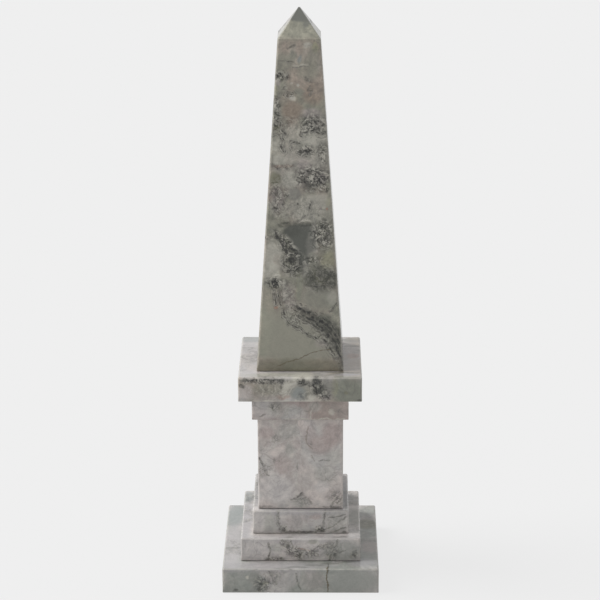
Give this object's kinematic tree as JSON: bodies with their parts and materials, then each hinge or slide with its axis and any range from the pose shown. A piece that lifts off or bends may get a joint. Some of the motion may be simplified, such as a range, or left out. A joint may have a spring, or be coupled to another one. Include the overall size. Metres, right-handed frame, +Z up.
{
  "type": "marble table obelisk",
  "caption": "Small polished breccia marble obelisk on a stepped square pedestal with a die, neck and cap slab, bonded on resin beds and tied by a central rod.",
  "frame": {"origin": "centre of the square underside of the plinth, on the surface that the obelisk stands on", "axes": "+Z up along the obelisk, +X to the right and +Y to the back as seen from the front face"},
  "size_m": [0.125, 0.125, 0.4608],
  "materials": {
    "breccia_marble": "gloss",
    "stone_resin": "satin",
    "zinc_steel": "satin"
  },
  "bodies": {
    "root": {"plinth": "breccia_marble", "lower_step": "breccia_marble", "upper_step": "breccia_marble", "die": "breccia_marble", "neck_slab": "breccia_marble", "cap_slab": "breccia_marble", "obelisk_shaft": "breccia_marble", "lower_step_bed": "stone_resin", "upper_step_bed": "stone_resin", "die_bed": "stone_resin", "neck_slab_bed": "stone_resin", "cap_slab_bed": "stone_resin", "shaft_bed": "stone_resin", "tie_rod_anchor": "stone_resin", "tie_rod": "zinc_steel", "tie_rod_nut": "zinc_steel", "tie_rod_washer": "zinc_steel"}
  },
  "joints": []
}
